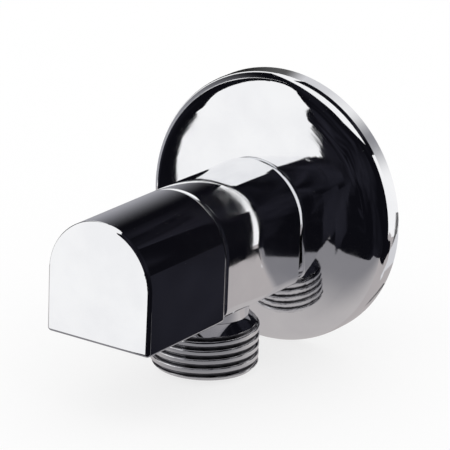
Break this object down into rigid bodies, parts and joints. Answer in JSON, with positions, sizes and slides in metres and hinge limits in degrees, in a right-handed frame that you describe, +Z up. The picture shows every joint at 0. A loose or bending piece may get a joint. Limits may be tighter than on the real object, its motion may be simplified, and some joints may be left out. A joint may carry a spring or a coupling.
{
  "type": "angle valve",
  "caption": "Chromed quarter-turn angle valve: arch-section body and handle, wall rosette, threaded inlet behind and threaded outlet pointing down.",
  "frame": {"origin": "on the valve's axis in the plane of the wall, where the rosette's back rim and the start of the inlet thread lie", "axes": "+Y into the wall along the inlet, -Y towards the user, +Z up, the outlet points along -Z"},
  "size_m": [0.054, 0.0741, 0.054],
  "materials": {
    "chrome": "polished",
    "brass": "turned",
    "rubber": "matt",
    "steel": "plain",
    "ceramic": "lapped",
    "plastic": "matt"
  },
  "bodies": {
    "valve": {"valve_body": "chrome", "cartridge_housing": "brass", "housing_seal": "rubber", "slip_washer": "plastic", "fixed_disc": "ceramic", "seat_seal": "rubber", "seal_support_ring": "plastic"},
    "handle": {"handle": "chrome", "handle_grub_screw": "steel", "spindle": "brass", "spindle_seal_back": "rubber", "spindle_seal_front": "rubber", "retaining_clip": "steel", "moving_disc": "ceramic"},
    "rosette": {"rosette": "chrome"}
  },
  "joints": [
    {"name": "handle_turn", "type": "hinge", "parent": "valve", "child": "handle", "pos_m": [0, 0, 0], "axis": [0, -1, 0], "range_deg": [0, 90]},
    {"name": "rosette_slide", "type": "slide", "parent": "valve", "child": "rosette", "axis": [0, 1, 0], "range_m": [0, 0.004]}
  ]
}
